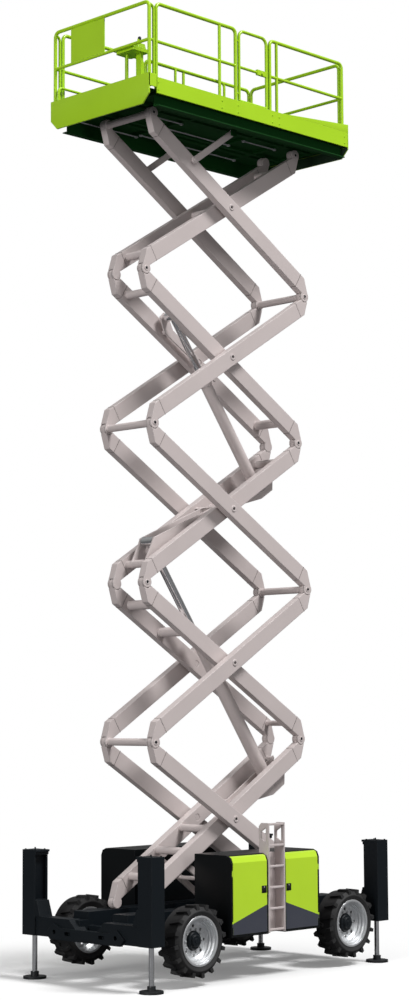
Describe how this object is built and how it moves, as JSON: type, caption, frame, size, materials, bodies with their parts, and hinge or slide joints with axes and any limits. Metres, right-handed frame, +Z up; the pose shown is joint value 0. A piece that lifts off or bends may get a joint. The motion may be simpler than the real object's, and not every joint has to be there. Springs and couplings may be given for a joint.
{
  "type": "scissor lift",
  "caption": "Self-propelled rough-terrain scissor lift on jacks, with a folding arm stack, lift cylinders and a railed platform with a sliding deck extension.",
  "frame": {"origin": "on the ground at the centre of the four jack feet", "axes": "+X forward (the steered end), +Y to the machine's left (the ladder side), +Z up"},
  "size_m": [4.335, 2.339, 11.9028],
  "materials": {
    "black_paint": "satin black paint",
    "grey_paint": "satin warm grey paint",
    "chrome_rod": "hard chrome rod with black pad or eye",
    "tyre_rubber": "black lugged rubber",
    "silver_rim": "silver paint",
    "lime_paint": "gloss lime green paint",
    "deck_paint": "very dark green paint",
    "engine_iron": "painted iron block"
  },
  "bodies": {
    "chassis": {"chassis": "black_paint", "front_outrigger": "black_paint", "rear_outrigger": "black_paint", "front_axle": "black_paint", "rear_axle": "black_paint", "cover_left": "black_paint", "cover_right": "black_paint", "engine": "engine_iron", "ladder": "grey_paint"},
    "base_strut": {"base_strut": "grey_paint"},
    "top_strut": {"top_strut": "grey_paint"},
    "lower_barrel": {"lower_cylinder_barrel": "grey_paint"},
    "lower_rod": {"lower_cylinder_rod": "chrome_rod"},
    "upper_barrel": {"upper_cylinder_barrel": "grey_paint"},
    "upper_rod": {"upper_cylinder_rod": "chrome_rod"},
    "platform": {"platform_deck": "deck_paint", "toe_boards": "lime_paint", "rails_left": "lime_paint", "rails_right": "lime_paint", "rails_rear": "lime_paint"},
    "gate": {"gate": "lime_paint"},
    "extension": {"extension_deck": "deck_paint", "extension_panel": "lime_paint", "extension_rails": "lime_paint", "control_box": "lime_paint"},
    "knuckle_left": {"knuckle_left": "black_paint"},
    "knuckle_right": {"knuckle_right": "black_paint"},
    "inner_frame_1": {"inner_frame_1": "grey_paint"},
    "outer_frame_1": {"outer_frame_1": "grey_paint"},
    "inner_frame_2": {"inner_frame_2": "grey_paint"},
    "outer_frame_2": {"outer_frame_2": "grey_paint"},
    "inner_frame_3": {"inner_frame_3": "grey_paint"},
    "outer_frame_3": {"outer_frame_3": "grey_paint"},
    "inner_frame_4": {"inner_frame_4": "grey_paint"},
    "outer_frame_4": {"outer_frame_4": "grey_paint"},
    "inner_frame_5": {"inner_frame_5": "grey_paint"},
    "outer_frame_5": {"outer_frame_5": "grey_paint"},
    "wheel_front_left": {"tyre_front_left": "tyre_rubber", "rim_front_left": "silver_rim"},
    "jack_front_left": {"jack_front_left": "chrome_rod"},
    "door_front_left": {"door_front_left": "lime_paint"},
    "wheel_front_right": {"tyre_front_right": "tyre_rubber", "rim_front_right": "silver_rim"},
    "jack_front_right": {"jack_front_right": "chrome_rod"},
    "door_front_right": {"door_front_right": "lime_paint"},
    "wheel_rear_left": {"tyre_rear_left": "tyre_rubber", "rim_rear_left": "silver_rim"},
    "jack_rear_left": {"jack_rear_left": "chrome_rod"},
    "door_rear_left": {"door_rear_left": "lime_paint"},
    "wheel_rear_right": {"tyre_rear_right": "tyre_rubber", "rim_rear_right": "silver_rim"},
    "jack_rear_right": {"jack_rear_right": "chrome_rod"},
    "door_rear_right": {"door_rear_right": "lime_paint"}
  },
  "joints": [
    {"name": "lift", "type": "hinge", "parent": "chassis", "child": "base_strut", "pos_m": [0, 0, 0.916], "axis": [0, -1, 0], "range_deg": [-31.39, 25]},
    {"name": "inner_1_turn", "type": "hinge", "parent": "base_strut", "child": "inner_frame_1", "pos_m": [0.69628, 0, 1.40354], "axis": [0, -1, 0], "range_deg": [-50.5, 63.28]},
    {"name": "inner_2_turn", "type": "hinge", "parent": "inner_frame_1", "child": "inner_frame_2", "pos_m": [-1.39256, 0, 2.86616], "axis": [0, -1, 0], "range_deg": [-63.28, 50.5]},
    {"name": "inner_3_turn", "type": "hinge", "parent": "inner_frame_2", "child": "inner_frame_3", "pos_m": [1.39256, 0, 4.81632], "axis": [0, -1, 0], "range_deg": [-50.5, 63.28]},
    {"name": "inner_4_turn", "type": "hinge", "parent": "inner_frame_3", "child": "inner_frame_4", "pos_m": [-1.39256, 0, 6.76648], "axis": [0, -1, 0], "range_deg": [-63.28, 50.5]},
    {"name": "inner_5_turn", "type": "hinge", "parent": "inner_frame_4", "child": "inner_frame_5", "pos_m": [1.39256, 0, 8.71664], "axis": [0, -1, 0], "range_deg": [-50.5, 63.28]},
    {"name": "outer_1_turn", "type": "hinge", "parent": "inner_frame_1", "child": "outer_frame_1", "pos_m": [0, 0, 1.89108], "axis": [0, -1, 0], "range_deg": [-63.28, 50.5]},
    {"name": "outer_2_turn", "type": "hinge", "parent": "inner_frame_2", "child": "outer_frame_2", "pos_m": [0, 0, 3.84124], "axis": [0, -1, 0], "range_deg": [-50.5, 63.28]},
    {"name": "outer_3_turn", "type": "hinge", "parent": "inner_frame_3", "child": "outer_frame_3", "pos_m": [0, 0, 5.7914], "axis": [0, -1, 0], "range_deg": [-63.28, 50.5]},
    {"name": "outer_4_turn", "type": "hinge", "parent": "inner_frame_4", "child": "outer_frame_4", "pos_m": [0, 0, 7.74156], "axis": [0, -1, 0], "range_deg": [-50.5, 63.28]},
    {"name": "outer_5_turn", "type": "hinge", "parent": "inner_frame_5", "child": "outer_frame_5", "pos_m": [0, 0, 9.69172], "axis": [0, -1, 0], "range_deg": [-63.28, 50.5]},
    {"name": "top_strut_turn", "type": "hinge", "parent": "outer_frame_5", "child": "top_strut", "pos_m": [0.69628, 0, 10.17926], "axis": [0, -1, 0], "range_deg": [-50.5, 63.28]},
    {"name": "platform_level", "type": "hinge", "parent": "top_strut", "child": "platform", "pos_m": [0, 0, 10.6668], "axis": [0, -1, 0], "range_deg": [-31.89, 25.5]},
    {"name": "lower_cylinder_swing", "type": "hinge", "parent": "inner_frame_1", "child": "lower_barrel", "pos_m": [-1.09443, 0, 2.29883], "axis": [0, -1, 0], "range_deg": [-63.28, 50.5]},
    {"name": "upper_cylinder_swing", "type": "hinge", "parent": "inner_frame_3", "child": "upper_barrel", "pos_m": [-0.91199, 0, 6.14874], "axis": [0, -1, 0], "range_deg": [-66.42, 53]},
    {"name": "lower_cylinder_stroke", "type": "slide", "parent": "lower_barrel", "child": "lower_rod", "axis": [0.5752, 0, 0.818], "range_m": [-1.1665, 0.93]},
    {"name": "upper_cylinder_stroke", "type": "slide", "parent": "upper_barrel", "child": "upper_rod", "axis": [0.591, 0, 0.8067], "range_m": [-0.7474, 0.5962]},
    {"name": "steer", "type": "hinge", "parent": "chassis", "child": "knuckle_left", "pos_m": [1.297, 0.89, 0.54], "axis": [0, 0, 1], "range_deg": [-30, 30]},
    {"name": "steer_right", "type": "hinge", "parent": "chassis", "child": "knuckle_right", "pos_m": [1.297, -0.89, 0.54], "axis": [0, 0, 1], "range_deg": [-30.5, 30.5]},
    {"name": "wheel_front_left_spin", "type": "hinge", "parent": "knuckle_left", "child": "wheel_front_left", "pos_m": [1.297, 0.962, 0.54], "axis": [0, 1, 0], "continuous": true},
    {"name": "wheel_front_right_spin", "type": "hinge", "parent": "knuckle_right", "child": "wheel_front_right", "pos_m": [1.297, -0.962, 0.54], "axis": [0, 1, 0], "continuous": true},
    {"name": "wheel_rear_left_spin", "type": "hinge", "parent": "chassis", "child": "wheel_rear_left", "pos_m": [-1.45, 0.962, 0.54], "axis": [0, 1, 0], "continuous": true},
    {"name": "wheel_rear_right_spin", "type": "hinge", "parent": "chassis", "child": "wheel_rear_right", "pos_m": [-1.45, -0.962, 0.54], "axis": [0, 1, 0], "continuous": true},
    {"name": "jack_front_left_lift", "type": "slide", "parent": "chassis", "child": "jack_front_left", "axis": [0, 0, 1], "range_m": [0, 0.38]},
    {"name": "jack_front_right_lift", "type": "slide", "parent": "chassis", "child": "jack_front_right", "axis": [0, 0, 1], "range_m": [0, 0.38]},
    {"name": "jack_rear_left_lift", "type": "slide", "parent": "chassis", "child": "jack_rear_left", "axis": [0, 0, 1], "range_m": [0, 0.38]},
    {"name": "jack_rear_right_lift", "type": "slide", "parent": "chassis", "child": "jack_rear_right", "axis": [0, 0, 1], "range_m": [0, 0.38]},
    {"name": "door_front_left_open", "type": "hinge", "parent": "chassis", "child": "door_front_left", "pos_m": [0.79, 1.15, 1], "axis": [0, 0, -1], "range_deg": [0, 90]},
    {"name": "door_rear_left_open", "type": "hinge", "parent": "chassis", "child": "door_rear_left", "pos_m": [-0.755, 1.15, 1], "axis": [0, 0, 1], "range_deg": [0, 90]},
    {"name": "door_front_right_open", "type": "hinge", "parent": "chassis", "child": "door_front_right", "pos_m": [0.79, -1.15, 1], "axis": [0, 0, 1], "range_deg": [0, 90]},
    {"name": "door_rear_right_open", "type": "hinge", "parent": "chassis", "child": "door_rear_right", "pos_m": [-0.755, -1.15, 1], "axis": [0, 0, -1], "range_deg": [0, 90]},
    {"name": "gate_open", "type": "hinge", "parent": "platform", "child": "gate", "pos_m": [0.326, 0.855, 11.4], "axis": [0, 0, 1], "range_deg": [0, 90]},
    {"name": "extension_slide", "type": "slide", "parent": "platform", "child": "extension", "axis": [1, 0, 0], "range_m": [0, 1.2]}
  ],
  "couplings": [
    {"joint": "inner_1_turn", "follows": "lift", "ratio": -2},
    {"joint": "inner_2_turn", "follows": "lift", "ratio": 2},
    {"joint": "inner_3_turn", "follows": "lift", "ratio": -2},
    {"joint": "inner_4_turn", "follows": "lift", "ratio": 2},
    {"joint": "inner_5_turn", "follows": "lift", "ratio": -2},
    {"joint": "outer_1_turn", "follows": "lift", "ratio": 2},
    {"joint": "outer_2_turn", "follows": "lift", "ratio": -2},
    {"joint": "outer_3_turn", "follows": "lift", "ratio": 2},
    {"joint": "outer_4_turn", "follows": "lift", "ratio": -2},
    {"joint": "outer_5_turn", "follows": "lift", "ratio": 2},
    {"joint": "top_strut_turn", "follows": "lift", "ratio": -2},
    {"joint": "platform_level", "follows": "lift", "ratio": 1},
    {"joint": "lower_cylinder_swing", "follows": "lift", "ratio": 2},
    {"joint": "upper_cylinder_swing", "follows": "lift", "ratio": 2.1},
    {"joint": "lower_cylinder_stroke", "follows": "lift", "m_per_rad": 2.12},
    {"joint": "upper_cylinder_stroke", "follows": "lift", "m_per_rad": 1.355},
    {"joint": "steer_right", "follows": "steer", "ratio": 1}
  ]
}
